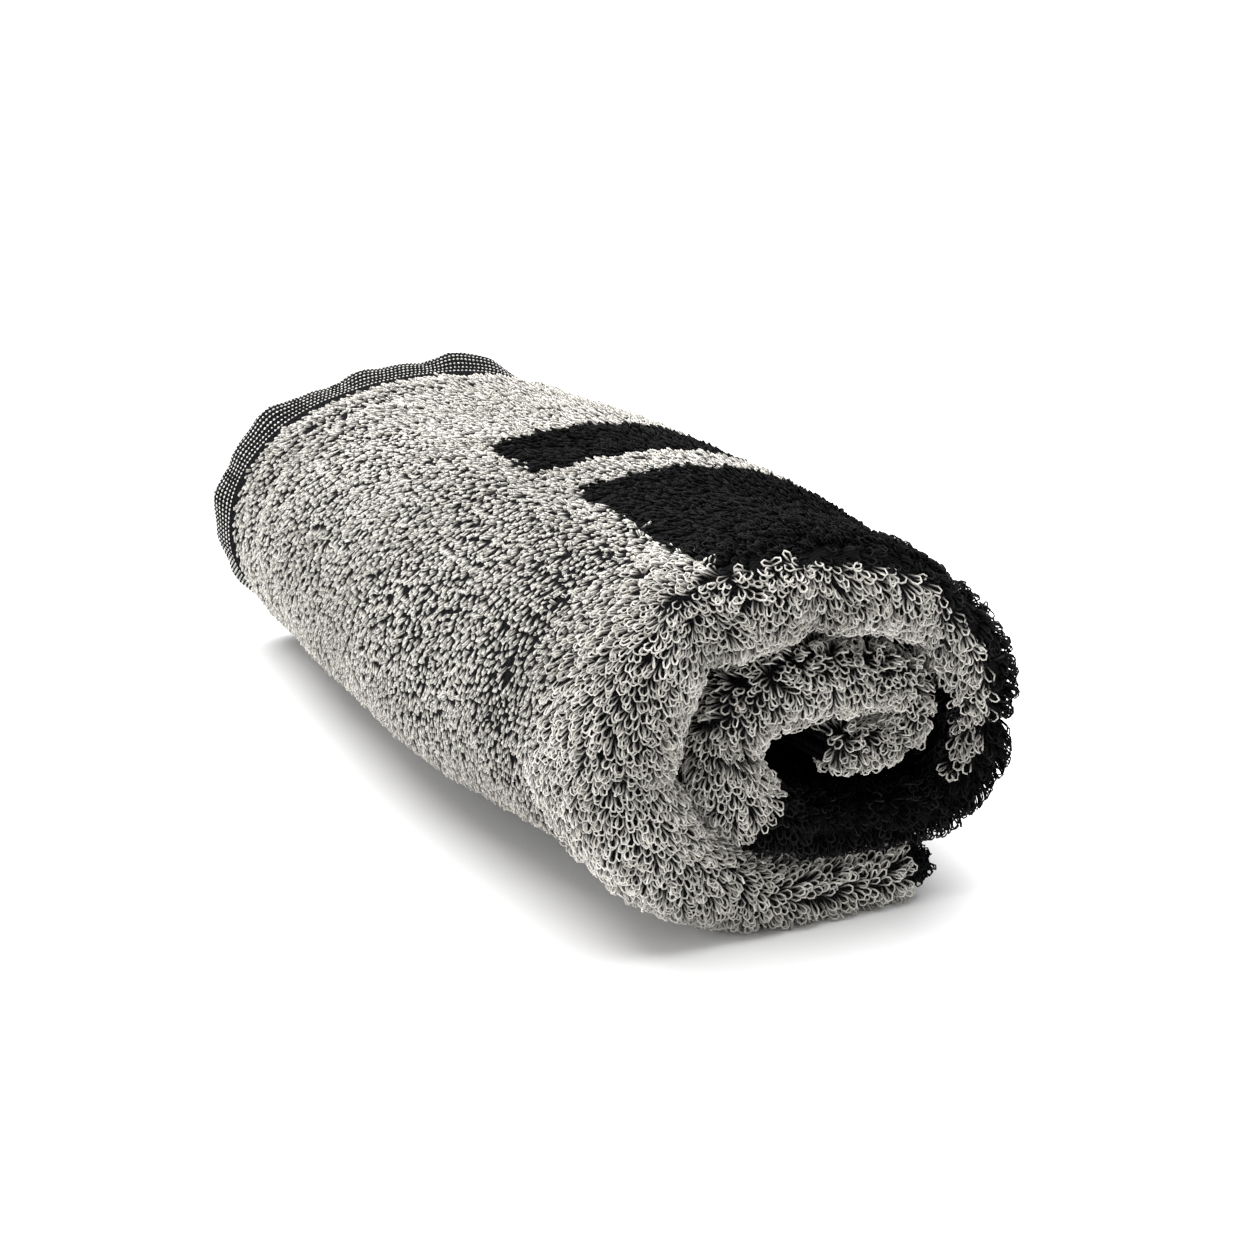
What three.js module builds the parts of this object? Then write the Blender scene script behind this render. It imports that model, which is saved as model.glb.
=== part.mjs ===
// A terry sports towel, folded in half twice and wound into a roll that lies on a surface.
// Millimetres, +Z up. The roll lies along X: its folded end faces +X and its hemmed end -X.
// The origin is on the surface, under the middle of the roll's box.

import * as THREE from 'three';

// Driving dimensions
const ROLL_LENGTH = 250; // half the towel's width
const HEM_WIDTH = 8;
const HEM_THICKNESS = 2.6;
const HEM_FLARE = 2; // how far the outermost hem stands away from the roll
const SETTLE = 3.4; // how far the roll sinks into its flat spot
const AXIS_SHIFT = { x: 0.1, y: 1.55 }; // from the winding's own zero to the middle of the box
const WIDENING_LENGTH = 130; // where the winding has its full width, from the folded end
const LOWERING_LENGTH = 245; // where the winding is at its lowest
const LOWERING_POWER = 1.5;
const FOLD_ANGLES = [0, 20, 40, 60, 80]; // degrees round the fold, from its crest
const STEPS_PER_ROW = 3; // rings of the mesh to each row of the winding

// The band of folded cloth follows one winding, seen here from the folded end with Y to the right.
// Rows run from the loose end, along the underside, up the left, over the top, down the right and
// inwards to the core. Each row has the band's middle and thickness at the folded end (near) and
// at the hemmed end (far), how far the fold and the hem stand out past the roll's nominal ends,
// and how far this turn lies open as the outermost one.
const WINDING_COLUMNS = [
  'nearY', 'nearZ', 'nearThick', 'farY', 'farZ', 'farThick', 'foldReach', 'hemReach', 'open',
];
const WINDING = [
  [37.5, 11.5, 5.0, 43.0, 7.6, 5.0, -12.0, -8.0, 0.0],
  [35.5, 11.0, 10.0, 41.0, 7.3, 9.0, -10.0, -8.0, 0.0],
  [31.0, 10.6, 13.5, 35.0, 7.2, 12.0, -8.0, -8.0, 0.0],
  [18.0, 10.0, 15.0, 18.0, 7.3, 12.5, -7.0, -8.0, 0.0],
  [1.0, 10.8, 16.5, -3.0, 7.3, 13.0, -5.0, -8.0, 0.0],
  [-16.0, 15.0, 20.0, -27.0, 8.0, 14.0, -4.0, -9.0, 0.3],
  [-30.0, 25.0, 25.0, -45.0, 13.0, 15.0, -2.0, -9.0, 0.8],
  [-38.8, 40.5, 27.5, -53.0, 26.5, 16.0, 0.0, -4.0, 1.0],
  [-39.5, 57.5, 28.0, -51.0, 43.0, 17.0, 0.0, 0.0, 1.0],
  [-31.8, 73.2, 26.5, -39.5, 56.0, 17.0, 0.0, 0.0, 1.0],
  [-15.2, 82.8, 25.5, -20.0, 62.7, 17.0, 0.0, 0.0, 1.0],
  [4.0, 85.3, 24.5, 2.0, 64.3, 16.5, 0.0, 0.0, 1.0],
  [24.4, 82.4, 20.0, 23.5, 61.0, 16.0, -1.0, -1.0, 1.0],
  [41.5, 71.0, 18.0, 42.0, 51.5, 15.0, -2.0, -2.0, 1.0],
  [49.2, 53.7, 18.5, 51.0, 38.5, 14.5, -3.0, -3.0, 0.9],
  [47.8, 37.0, 17.5, 48.5, 26.0, 13.0, -5.0, -3.0, 0.5],
  [38.0, 26.6, 15.0, 36.0, 21.2, 12.0, -6.0, -4.0, 0.0],
  [20.0, 25.2, 13.5, 18.0, 21.0, 12.0, -7.0, -4.0, 0.0],
  [3.0, 27.0, 15.0, -2.0, 21.2, 12.0, -6.0, -4.0, 0.0],
  [-8.5, 33.4, 17.5, -22.0, 23.6, 12.0, -5.0, -4.0, 0.0],
  [-14.0, 41.8, 19.0, -31.5, 28.8, 11.5, -4.0, -3.0, 0.0],
  [-14.9, 51.0, 19.0, -34.0, 36.3, 11.5, -3.0, -3.0, 0.0],
  [-9.5, 58.8, 19.5, -27.0, 44.0, 11.5, -3.0, -3.0, 0.0],
  [3.5, 62.2, 19.5, -9.0, 48.0, 12.5, -4.0, -4.0, 0.0],
  [17.0, 62.0, 17.0, 10.0, 48.2, 12.0, -4.0, -4.0, 0.0],
  [27.3, 59.8, 13.5, 25.5, 45.6, 9.0, -5.0, -5.0, 0.0],
  [31.0, 53.0, 11.0, 32.4, 40.0, 7.5, -6.0, -6.0, 0.0],
  [27.6, 46.4, 10.5, 29.8, 34.0, 8.0, -6.0, -6.0, 0.0],
  [20.0, 44.8, 12.0, 13.0, 33.8, 10.5, -7.0, -6.0, 0.0],
  [11.0, 45.3, 11.0, -16.0, 35.2, 10.5, -8.0, -6.0, 0.0],
];

// Stations along the roll, measured back from its folded end: the share of the band's thickness
// there, and how far the outermost turn swells. The fold is plump, a soft trough parts it from
// the body of the roll, and the body has a slight belly.
const BODY_COLUMNS = ['back', 'fullness', 'belly'];
const BODY = [
  [28, 1.0, 0.3],
  [46, 0.94, 0.5],
  [70, 0.97, 1.5],
  [100, 0.99, 2.5],
  [135, 1.0, 2.5],
  [170, 0.98, 1.5],
  [205, 0.97, 0.5],
  [226, 0.95, 0.0],
];

// The hemmed end of one half of the band: place along the roll in hem widths from the very edge,
// and place across the band as a share of its half thickness. The outer lip is the flat hem of
// the outer ply, a groove parts it from the inner plies, and they end in a tongue of their own.
const LIP_SHARE = 0.4; // the lip is never thicker than this share of the half thickness
const HEM_COLUMNS = ['along', 'across', 'lip'];
const HEM_END = [
  [1.7, 0.92, 0],
  [1.1, 0.78, 0],
  [1.0, 0.7, 0],
  [0.0, 0.72, 1],
  [0.0, 0.72, -1],
  [0.75, 0.42, 0],
  [0.15, 0.32, 0],
  [0.08, 0.0, 0],
];

// Number of section points from the fold's crest to the root of the hem
const HEM_ROOT = FOLD_ANGLES.length + BODY.length + HEM_END.findIndex(([along]) => along === 1);

// Low unevenness of the outermost turn, as waves in radians per millimetre along the roll and
// per row round it
const LUMP_HEIGHT = 0.8;
const LUMP_WAVES = [
  { along: 0.041, around: 1.3, start: 0.4 },
  { along: 0.083, around: 0.7, start: 2.1 },
];

function namedRows(columns, rows) {
  return rows.map((row) => Object.fromEntries(columns.map((name, k) => [name, row[k]])));
}

// Smooth values of every winding column between its rows
const windingCurve = new THREE.CubicInterpolant(
  Float32Array.from(WINDING, (_, k) => k),
  Float32Array.from(WINDING.flat()),
  WINDING_COLUMNS.length,
);

function windingAt(turn) {
  const values = windingCurve.evaluate(turn);
  return Object.fromEntries(WINDING_COLUMNS.map((name, k) => [name, values[k]]));
}

// Middle and outward direction of the band at one place of the winding and one place along X
function bandFrame(turn, x) {
  const nearby = 0.02;
  const last = WINDING.length - 1;
  const middle = (t) => {
    const w = windingAt(THREE.MathUtils.clamp(t, 0, last));
    return new THREE.Vector2(
      THREE.MathUtils.lerp(w.nearY, w.farY, widenedAt(x)),
      THREE.MathUtils.lerp(w.nearZ, w.farZ, loweredAt(x)),
    );
  };
  const ahead = middle(turn + nearby).sub(middle(turn - nearby)).normalize();
  return { middle: middle(turn), outward: new THREE.Vector2(-ahead.y, ahead.x) };
}

function lump(turn, x) {
  const heights = LUMP_WAVES.map((w) => Math.sin(w.along * x + w.around * turn + w.start));
  return (LUMP_HEIGHT * heights.reduce((sum, h) => sum + h, 0)) / LUMP_WAVES.length;
}

// One half of the band's section, from the fold's crest to the middle of the hemmed end, as
// places along X and offsets from the band's middle. side is 1 for the outer half, -1 for the inner.
function halfSection(turn, side) {
  const w = windingAt(turn);
  const nearEnd = ROLL_LENGTH / 2 + w.foldReach;
  const farEnd = -ROLL_LENGTH / 2 - w.hemReach;
  const half = (x) => THREE.MathUtils.lerp(w.nearThick, w.farThick, widenedAt(x)) / 2;
  const open = side > 0 ? THREE.MathUtils.clamp(w.open, 0, 1) : 0;
  const points = [];

  const foldRadius = w.nearThick / 2;
  for (const degrees of FOLD_ANGLES) {
    const angle = THREE.MathUtils.degToRad(degrees);
    const x = nearEnd - foldRadius * (1 - Math.cos(angle));
    points.push({ x, offset: half(x) * Math.sin(angle) });
  }
  for (const { back, fullness, belly } of namedRows(BODY_COLUMNS, BODY)) {
    const x = ROLL_LENGTH / 2 - back;
    points.push({ x, offset: half(x) * fullness + open * (belly + lump(turn, x)) });
  }
  for (const { along, across, lip } of namedRows(HEM_COLUMNS, HEM_END)) {
    const x = farEnd + along * HEM_WIDTH;
    const lipHalf = Math.min(HEM_THICKNESS, half(x) * LIP_SHARE) / 2;
    const lipShift = lip === 0 ? 0 : open * HEM_FLARE + lip * lipHalf;
    points.push({ x, offset: half(x) * across + lipShift });
  }
  return points.map(({ x, offset }) => ({ x, offset: side * offset }));
}

// Share of the way from the plump folded end to the hemmed end, which is wider and lower
function widenedAt(x) {
  return THREE.MathUtils.smoothstep(ROLL_LENGTH / 2 - x, 0, WIDENING_LENGTH);
}

function loweredAt(x) {
  return THREE.MathUtils.clamp((ROLL_LENGTH / 2 - x) / LOWERING_LENGTH, 0, 1) ** LOWERING_POWER;
}

// The closed section as one outline: the outer half, then the inner half back to the crest
function bandOutline(turn) {
  const outer = halfSection(turn, 1);
  const inner = halfSection(turn, -1);
  return [...outer, ...inner.slice(1, -1).reverse()];
}

function bandRing(turn) {
  return bandOutline(turn).map(({ x, offset }) => {
    const { middle, outward } = bandFrame(turn, x);
    const place = middle.addScaledVector(outward, offset);
    return new THREE.Vector3(x + AXIS_SHIFT.x, place.x + AXIS_SHIFT.y, Math.max(0, place.y - SETTLE));
  });
}

// Faces across the section where the band ends: rungs between its halves, and the hem's own outline
function endFaces(turn) {
  const outline = bandOutline(turn).map(({ x, offset }) => new THREE.Vector2(x, offset));
  const size = outline.length;
  const faces = [];
  for (let k = 0; k < HEM_ROOT; k += 1) {
    faces.push([k, k + 1, size - k - 1]);
    if (k > 0) faces.push([k, size - k - 1, size - k]);
  }
  const hem = outline.slice(HEM_ROOT, size - HEM_ROOT + 1);
  for (const face of THREE.ShapeUtils.triangulateShape(hem, [])) {
    faces.push(face.map((j) => j + HEM_ROOT));
  }
  return faces;
}

// Skin between neighbouring rings, closed at the loose end and at the core
function bandGeometry() {
  const lastRow = WINDING.length - 1;
  const ringCount = lastRow * STEPS_PER_ROW + 1;
  const rings = Array.from({ length: ringCount }, (_, i) => bandRing(i / STEPS_PER_ROW));
  const size = rings[0].length;
  const vertex = (i, j) => i * size + (j % size);
  const triangles = [];

  for (let i = 0; i + 1 < ringCount; i += 1) {
    for (let j = 0; j < size; j += 1) {
      triangles.push(vertex(i, j), vertex(i + 1, j), vertex(i + 1, j + 1));
      triangles.push(vertex(i, j), vertex(i + 1, j + 1), vertex(i, j + 1));
    }
  }
  for (const [a, b, c] of endFaces(0)) {
    triangles.push(vertex(0, a), vertex(0, b), vertex(0, c));
  }
  for (const [a, b, c] of endFaces(lastRow)) {
    triangles.push(vertex(ringCount - 1, a), vertex(ringCount - 1, c), vertex(ringCount - 1, b));
  }

  const geometry = new THREE.BufferGeometry();
  const positions = rings.flat().flatMap((p) => p.toArray());
  geometry.setAttribute('position', new THREE.Float32BufferAttribute(positions, 3));
  geometry.setIndex(triangles);
  geometry.computeVertexNormals();
  return geometry;
}

const terryGrey = new THREE.MeshStandardMaterial({ color: 0xb9b7b2, roughness: 0.95, metalness: 0 });

const towelRoll = new THREE.Mesh(bandGeometry(), terryGrey);
towelRoll.name = 'towel_roll';

const rolledTowel = new THREE.Group();
rolledTowel.add(towelRoll);

export default rolledTowel;
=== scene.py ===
# %% [markdown]
# # A rolled terry towel
# The real thing is one length of terry cloth, folded in half twice and wound into a roll. The solids
# already hold the wound form, so this lesson dresses it: a thin cloth, its woven hem and its pile.
# The imported solids come in first as a fixed frame.

import bpy
import numpy as np
from mathutils import Matrix, Vector


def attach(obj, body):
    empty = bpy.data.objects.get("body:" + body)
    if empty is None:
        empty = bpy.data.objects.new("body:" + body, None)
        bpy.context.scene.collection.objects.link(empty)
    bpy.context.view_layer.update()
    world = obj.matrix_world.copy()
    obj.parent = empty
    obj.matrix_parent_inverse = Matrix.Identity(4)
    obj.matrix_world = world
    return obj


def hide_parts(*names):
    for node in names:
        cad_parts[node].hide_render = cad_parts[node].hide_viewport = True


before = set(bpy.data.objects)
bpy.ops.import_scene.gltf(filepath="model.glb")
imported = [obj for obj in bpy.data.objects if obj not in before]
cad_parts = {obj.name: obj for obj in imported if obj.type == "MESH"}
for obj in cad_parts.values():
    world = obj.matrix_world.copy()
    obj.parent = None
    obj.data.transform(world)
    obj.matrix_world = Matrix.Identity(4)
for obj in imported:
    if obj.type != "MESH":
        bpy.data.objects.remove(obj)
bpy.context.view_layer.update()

MM = 0.001

# %% [markdown]
# ## The winding
# Four plies of cloth lie together as one band, and the band is wound from its loose end under the
# roll to its core. A simulation could roll it up, but a table is easier to steer: each row is one
# place of the winding, at the folded end (near) and at the hemmed end (far), in millimetres.
# It is the table that the solids were made from, so the cloth lands where they are.

# %% The winding's table
WINDING_COLUMNS = (
    "near_y", "near_z", "near_thick", "far_y", "far_z", "far_thick", "fold_reach", "hem_reach", "open",
)
WINDING = np.array([
    (37.5, 11.5, 5.0, 43.0, 7.6, 5.0, -12.0, -8.0, 0.0),
    (35.5, 11.0, 10.0, 41.0, 7.3, 9.0, -10.0, -8.0, 0.0),
    (31.0, 10.6, 13.5, 35.0, 7.2, 12.0, -8.0, -8.0, 0.0),
    (18.0, 10.0, 15.0, 18.0, 7.3, 12.5, -7.0, -8.0, 0.0),
    (1.0, 10.8, 16.5, -3.0, 7.3, 13.0, -5.0, -8.0, 0.0),
    (-16.0, 15.0, 20.0, -27.0, 8.0, 14.0, -4.0, -9.0, 0.3),
    (-30.0, 25.0, 25.0, -45.0, 13.0, 15.0, -2.0, -9.0, 0.8),
    (-38.8, 40.5, 27.5, -53.0, 26.5, 16.0, 0.0, -4.0, 1.0),
    (-39.5, 57.5, 28.0, -51.0, 43.0, 17.0, 0.0, 0.0, 1.0),
    (-31.8, 73.2, 26.5, -39.5, 56.0, 17.0, 0.0, 0.0, 1.0),
    (-15.2, 82.8, 25.5, -20.0, 62.7, 17.0, 0.0, 0.0, 1.0),
    (4.0, 85.3, 24.5, 2.0, 64.3, 16.5, 0.0, 0.0, 1.0),
    (24.4, 82.4, 20.0, 23.5, 61.0, 16.0, -1.0, -1.0, 1.0),
    (41.5, 71.0, 18.0, 42.0, 51.5, 15.0, -2.0, -2.0, 1.0),
    (49.2, 53.7, 18.5, 51.0, 38.5, 14.5, -3.0, -3.0, 0.9),
    (47.8, 37.0, 17.5, 48.5, 26.0, 13.0, -5.0, -3.0, 0.5),
    (38.0, 26.6, 15.0, 36.0, 21.2, 12.0, -6.0, -4.0, 0.0),
    (20.0, 25.2, 13.5, 18.0, 21.0, 12.0, -7.0, -4.0, 0.0),
    (3.0, 27.0, 15.0, -2.0, 21.2, 12.0, -6.0, -4.0, 0.0),
    (-8.5, 33.4, 17.5, -22.0, 23.6, 12.0, -5.0, -4.0, 0.0),
    (-14.0, 41.8, 19.0, -31.5, 28.8, 11.5, -4.0, -3.0, 0.0),
    (-14.9, 51.0, 19.0, -34.0, 36.3, 11.5, -3.0, -3.0, 0.0),
    (-9.5, 58.8, 19.5, -27.0, 44.0, 11.5, -3.0, -3.0, 0.0),
    (3.5, 62.2, 19.5, -9.0, 48.0, 12.5, -4.0, -4.0, 0.0),
    (17.0, 62.0, 17.0, 10.0, 48.2, 12.0, -4.0, -4.0, 0.0),
    (27.3, 59.8, 13.5, 25.5, 45.6, 9.0, -5.0, -5.0, 0.0),
    (31.0, 53.0, 11.0, 32.4, 40.0, 7.5, -6.0, -6.0, 0.0),
    (27.6, 46.4, 10.5, 29.8, 34.0, 8.0, -6.0, -6.0, 0.0),
    (20.0, 44.8, 12.0, 13.0, 33.8, 10.5, -7.0, -6.0, 0.0),
    (11.0, 45.3, 11.0, -16.0, 35.2, 10.5, -8.0, -6.0, 0.0),
])
CORE_TURN = len(WINDING) - 1
PADDED = np.vstack([2 * WINDING[0] - WINDING[1], WINDING, 2 * WINDING[-1] - WINDING[-2]])


def winding_at(turn):
    """Every column of the table, smoothly, at places between its rows."""
    row = np.clip(np.floor(turn).astype(int), 0, CORE_TURN - 1)
    p = (turn - row)[..., None]
    a, b, c, d = (PADDED[row + k] for k in range(4))
    values = b + p / 2 * (c - a + p * (2 * a - 5 * b + 4 * c - d + p * (3 * (b - c) + d - a)))
    return dict(zip(WINDING_COLUMNS, np.moveaxis(values, -1, 0)))


print("winding:", len(WINDING), "rows from the loose end to the core")

# %% [markdown]
# ## From the table to a place in space
# A place on the band has three numbers: its turn, its place along the roll's axis and its offset
# from the band's middle. The middle slides from the near to the far columns along the roll, because
# the roll is plump at its folded end and lower and wider at its hemmed end.

# %% Places on the band
ROLL_LENGTH = 250.0
WIDENING_LENGTH = 130.0
LOWERING_LENGTH, LOWERING_POWER = 245.0, 1.5
SETTLE = 3.4
AXIS_SHIFT_X, AXIS_SHIFT_Y = 0.1, 1.55
TURN_STEP = 0.02
MM_PER_TURN = 17.5


def smoothstep(value, start, end):
    t = np.clip((value - start) / (end - start), 0, 1)
    return t * t * (3 - 2 * t)


def lerp(a, b, share):
    return a + (b - a) * share


def unit(vectors):
    return vectors / np.maximum(np.linalg.norm(vectors, axis=-1, keepdims=True), 1e-9)


def band_middle(turn, x):
    w = winding_at(turn)
    back = ROLL_LENGTH / 2 - x
    lowered = np.clip(back / LOWERING_LENGTH, 0, 1) ** LOWERING_POWER
    y = lerp(w["near_y"], w["far_y"], smoothstep(back, 0, WIDENING_LENGTH))
    return np.stack([y, lerp(w["near_z"], w["far_z"], lowered)], -1)


def band_place(turn, x, offset):
    """Points in millimetres, before the surface under the roll flattens them."""
    ahead = unit(band_middle(turn + TURN_STEP, x) - band_middle(turn - TURN_STEP, x))
    y, z = np.moveaxis(band_middle(turn, x), -1, 0)
    y = y - ahead[..., 1] * offset + AXIS_SHIFT_Y
    z = z + ahead[..., 0] * offset - SETTLE
    return np.stack([x + AXIS_SHIFT_X, y, z], -1)


crest = band_place(np.array([9.0]), np.array([ROLL_LENGTH / 2]), np.array([0.0]))
print("crest of the fold at the top left, mm:", crest.round(1).tolist())

# %% [markdown]
# ## Plies, folds and creases
# Across the band a ply runs from the outer hem to the crest of the fold and back to the inner hem.
# `across` goes from 1 by 0 to -1 on that way. Each ply lies some depth below the band's skin: the
# outer ply by the length of its pile, the inner ply further in. Noise could crumple the cloth, but the
# creases that show on the real roll have their own places, so they are listed, a row each:
# dents across the fold, a trough behind it and ridges beside the hem. On the upper left of the roll
# the hem stands up and waves a little, and elsewhere it is tucked in.

# %% Numbers of the folds and creases
FOLD_SHARE = 0.12
HEM_WIDTH = 8.0
HEM_BLEND = 6.0
FLARE_WIDTH = HEM_WIDTH * 1.4
HEM_WAVE = 0.9
HEM_WAVES = ((2.3, 0.5, 1.0), (5.1, 0.0, 1.0), (11.3, 1.0, 0.5))
HEM_RISES, HEM_FALLS = (6.2, 7.3), (11.4, 12.6)
HEM_TUCK = 0.3
PLY_BLEND = (25, 60)
BODY_BACK = (28, 46, 70, 100, 135, 170, 205, 226)
BODY_FULLNESS = (1.0, 0.94, 0.97, 0.99, 1.0, 0.98, 0.97, 0.95)
BODY_BELLY = (0.3, 0.5, 1.5, 2.5, 2.5, 1.5, 0.5, 0.0)
PLIES = {
    "skin": {"fold_limit": 0.0, "body_limit": 0.0, "share": 0.0, "lip": 0.9, "flare": 2.0},
    "outer": {"fold_limit": 2.5, "body_limit": 1.6, "share": 0.4, "lip": 0.74, "flare": 3.6},
    "inner": {"fold_limit": 99.0, "body_limit": 99.0, "share": 0.7, "lip": 0.22, "flare": 0.0},
}
DENT_COLUMNS = ("turn", "turn_spread", "depth")
DENTS = [
    (7.3, 0.35, 3.0),
    (9.55, 0.24, 5.5),
    (11.1, 0.25, 5.0),
    (12.75, 0.25, 4.5),
    (14.3, 0.25, 3.5),
    (20.9, 0.3, 5.0),
    (25.6, 0.3, 2.0),
]
DENT_PINCH = 0.05
DENT_LENGTH = 25.0
PARTING = 0.25
LUMP_HEIGHT = 0.4
LUMPS = ((0.041, 1.3, 0.4), (0.083, 0.7, 2.1))
CREASE_COLUMNS = ("turn", "turn_spread", "back", "back_spread", "height")
CREASES = [
    (6.4, 1.9, 45, 7.5, -2.0),
    (8.8, 1.2, 41, 5, -1.3),
    (8.0, 1.2, 62, 9, 0.7),
    (9.6, 2.2, 229, 3.5, 1.2),
    (9.4, 2.0, 220, 3.0, -1.0),
    (9.0, 1.8, 211, 4.0, 0.8),
    (7.4, 1.2, 203, 5.0, -0.7),
    (11.0, 1.5, 150, 14, -0.8),
    (8.4, 0.9, 120, 25, 0.6),
    (15.0, 1.3, 70, 10, -1.1),
    (14.0, 1.6, 160, 16, -1.0),
]
print("creases placed by hand:", len(DENTS) + len(CREASES))


# %% Section of a ply
def dent(turn):
    """How far the fold is pushed back where the band is creased across."""
    depth = np.zeros(turn.shape)
    for row in DENTS:
        d = dict(zip(DENT_COLUMNS, row))
        depth = depth + d["depth"] * np.exp(-(((turn - d["turn"]) / d["turn_spread"]) ** 2))
    return depth


def parting(turn, reach):
    """How far loops near the fold lean along the winding, away from the creases across it."""
    lean = np.zeros(turn.shape)
    for row in DENTS:
        d = dict(zip(DENT_COLUMNS, row))
        away = (turn - d["turn"]) / d["turn_spread"]
        lean = lean + d["depth"] * away * np.exp(-(away**2) / 2)
    return PARTING * lean * np.exp(-((reach / DENT_LENGTH) ** 2))


def ripples(waves, aside, turn):
    """A sum of sine waves. Each has a rate aside, a rate along the winding and a start."""
    return sum(np.sin(a * aside + b * turn + c) for a, b, c in waves)


def unevenness(turn, x):
    """Low lumps and the main creases of the outermost turn."""
    back = ROLL_LENGTH / 2 - x
    height = LUMP_HEIGHT * ripples(LUMPS, x, turn)
    for row in CREASES:
        c = dict(zip(CREASE_COLUMNS, row))
        near = ((turn - c["turn"]) / c["turn_spread"]) ** 2 + ((back - c["back"]) / c["back_spread"]) ** 2
        height = height + c["height"] * np.exp(-near)
    return height


def ply_place(turn, across, ply):
    """Points of one ply in millimetres, unflattened."""
    p, w = PLIES[ply], winding_at(turn)
    side, reach = np.where(across < 0, -1.0, 1.0), np.abs(across)
    near_end = ROLL_LENGTH / 2 + w["fold_reach"] - dent(turn)
    far_end = -ROLL_LENGTH / 2 - w["hem_reach"]
    near_half = w["near_thick"] / 2
    crest_depth = np.minimum(p["fold_limit"], p["share"] * near_half)
    angle = np.pi / 2 * np.clip(reach / FOLD_SHARE, 0, 1)
    fold_x = near_end - crest_depth - (near_half - crest_depth) * (1 - np.cos(angle))
    along = (reach - FOLD_SHARE) / (1 - FOLD_SHARE)
    x = np.where(reach < FOLD_SHARE, fold_x, lerp(near_end - near_half, far_end, along))
    back = ROLL_LENGTH / 2 - x
    half = lerp(w["near_thick"], w["far_thick"], smoothstep(back, 0, WIDENING_LENGTH)) / 2
    is_open = np.clip(w["open"], 0, 1) * (side > 0)
    swell = np.interp(back, BODY_BACK, BODY_BELLY) + unevenness(turn, x)
    body = half * np.interp(back, BODY_BACK, BODY_FULLNESS) + is_open * swell
    limit = lerp(p["fold_limit"], p["body_limit"], smoothstep(back, *PLY_BLEND))
    body = body - np.minimum(limit, p["share"] * half)
    body = body * (1 - DENT_PINCH * dent(turn) * np.exp(-((back / DENT_LENGTH) ** 2)))
    edge = x - far_end
    wave = sum(height * np.sin(rate * turn + start) for rate, start, height in HEM_WAVES)
    stands = smoothstep(turn, *HEM_RISES) * (1 - smoothstep(turn, *HEM_FALLS))
    flare = p["flare"] * smoothstep(-edge, -FLARE_WIDTH, 0)
    flare = flare + HEM_WAVE * wave * smoothstep(-edge, -HEM_WIDTH, 0)
    lip = half * p["lip"] * (1 - HEM_TUCK * is_open * (1 - stands)) + is_open * stands * flare
    hem = smoothstep(-edge, -HEM_WIDTH - HEM_BLEND, -HEM_WIDTH)
    return band_place(turn, x, side * lerp(body, lip, hem) * np.sin(angle))


def across_at(turn, reach_mm):
    """The across of a place that lies some millimetres of cloth away from the crest of the fold."""
    w = winding_at(turn)
    quarter = np.pi / 4 * w["near_thick"]
    straight = ROLL_LENGTH + w["fold_reach"] + w["hem_reach"] - w["near_thick"] / 2
    in_fold = FOLD_SHARE * reach_mm / quarter
    past_fold = FOLD_SHARE + (1 - FOLD_SHARE) * (reach_mm - quarter) / straight
    return np.where(reach_mm < quarter, in_fold, past_fold)


def reach_of_hem(turn, edge_mm):
    """How far from the crest a place lies that is some millimetres away from the hem's edge."""
    w = winding_at(turn)
    straight = ROLL_LENGTH + w["fold_reach"] + w["hem_reach"] - w["near_thick"] / 2
    return np.pi / 4 * w["near_thick"] + straight - edge_mm


top = ply_place(np.array([10.0]), np.array([0.5]), "skin")
print("skin on top of the roll, mm:", top.round(1).tolist())

# %% [markdown]
# ## Meshes from arrays
# Thousands of loops would be slow to make one by one, so every piece here is worked out as numpy
# arrays and handed to Blender in one go. Numbers that a material needs travel with the points as
# named attributes.

# %% Mesh helper
def make_piece(name, points_mm, quads, triangles, values):
    """A smooth mesh object. values holds one number for each point, by attribute name."""
    mesh = bpy.data.meshes.new(name)
    corners = np.concatenate([quads.ravel(), triangles.ravel()]).astype(np.int32)
    first_triangle = 4 * len(quads)
    starts = np.concatenate([
        4 * np.arange(len(quads)), first_triangle + 3 * np.arange(len(triangles)),
    ]).astype(np.int32)
    mesh.vertices.add(len(points_mm))
    mesh.loops.add(len(corners))
    mesh.polygons.add(len(starts))
    mesh.vertices.foreach_set("co", (points_mm * MM).astype(np.float32).ravel())
    mesh.loops.foreach_set("vertex_index", corners)
    mesh.polygons.foreach_set("loop_start", starts)
    mesh.update(calc_edges=True)
    mesh.shade_smooth()
    for attribute, numbers in values.items():
        layer = mesh.attributes.new(attribute, "FLOAT", "POINT")
        layer.data.foreach_set("value", numbers.astype(np.float32).ravel())
    piece = bpy.data.objects.new(name, mesh)
    bpy.context.scene.collection.objects.link(piece)
    count = 2 * len(quads) + len(triangles)
    print(f"{name}: {count} triangles")
    return piece


NO_TRIANGLES, NO_QUADS = np.zeros((0, 3), int), np.zeros((0, 4), int)

# %% [markdown]
# ## The camera
# The photograph looks along the roll from its folded end, a little from the left and from above,
# through a long lens. The camera stands a metre away and looks along one fixed direction.

# %% Camera
CAMERA_TURN, CAMERA_RISE = np.radians(22.744), np.radians(20.204)
CAMERA_TARGET = (0, 0, 0.055)
CAMERA_DISTANCE = 1.0
CAMERA_SLIDE = (0.00852, -0.01867)
CAMERA_LENS, SENSOR = 114.25, 36.0

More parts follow.
